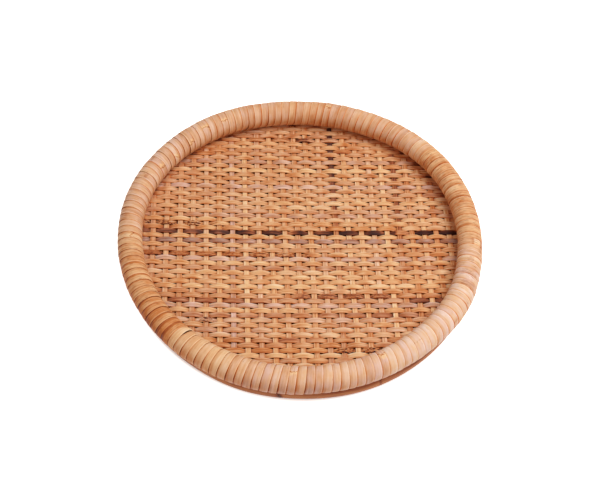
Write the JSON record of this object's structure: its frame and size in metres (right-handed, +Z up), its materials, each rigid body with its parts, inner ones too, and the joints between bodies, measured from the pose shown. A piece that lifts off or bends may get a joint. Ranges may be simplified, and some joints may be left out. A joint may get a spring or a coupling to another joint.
{
  "type": "rattan tray",
  "caption": "Round shallow serving tray: a plain-woven cane mat held between a cane-bound rattan rim hoop and a plain rattan foot hoop.",
  "frame": {"origin": "centre of the foot hoop's underside, on the surface that the tray stands on", "axes": "+Z up out of the tray, +Y along the warps, +X along the wefts"},
  "size_m": [0.2994, 0.2994, 0.0352],
  "materials": {
    "rattan_pole": "bare peeled pole, matt",
    "foot_rattan": "smooth varnished pole, satin",
    "binding_cane": "split skin cane, satin",
    "warp_cane": "split cane, satin",
    "weft_cane": "split cane, satin"
  },
  "bodies": {
    "root": {"rim_core": "rattan_pole", "foot_hoop": "foot_rattan", "binding_strip_1": "binding_cane", "binding_strip_2": "binding_cane", "binding_strip_3": "binding_cane", "binding_strip_4": "binding_cane", "binding_strip_5": "binding_cane", "binding_strip_6": "binding_cane", "warp_middle": "warp_cane", "warp_left_01": "warp_cane", "warp_left_02": "warp_cane", "warp_left_03": "warp_cane", "warp_left_04": "warp_cane", "warp_left_05": "warp_cane", "warp_left_06": "warp_cane", "warp_left_07": "warp_cane", "warp_left_08": "warp_cane", "warp_left_09": "warp_cane", "warp_left_10": "warp_cane", "warp_left_11": "warp_cane", "warp_right_01": "warp_cane", "warp_right_02": "warp_cane", "warp_right_03": "warp_cane", "warp_right_04": "warp_cane", "warp_right_05": "warp_cane", "warp_right_06": "warp_cane", "warp_right_07": "warp_cane", "warp_right_08": "warp_cane", "warp_right_09": "warp_cane", "warp_right_10": "warp_cane", "warp_right_11": "warp_cane", "warp_right_12": "warp_cane", "weft_band_middle": "weft_cane", "weft_band_front_01": "weft_cane", "weft_band_back_01": "weft_cane", "weft_band_front_02": "weft_cane", "weft_band_back_02": "weft_cane", "weft_band_front_03": "weft_cane", "weft_band_back_03": "weft_cane", "weft_band_front_04": "weft_cane", "weft_band_back_04": "weft_cane", "weft_band_front_05": "weft_cane", "weft_band_back_05": "weft_cane", "weft_band_front_06": "weft_cane", "weft_band_back_06": "weft_cane", "weft_band_front_07": "weft_cane", "weft_band_back_07": "weft_cane", "weft_band_front_08": "weft_cane", "weft_band_back_08": "weft_cane", "weft_band_front_09": "weft_cane", "weft_band_back_09": "weft_cane"}
  },
  "joints": []
}
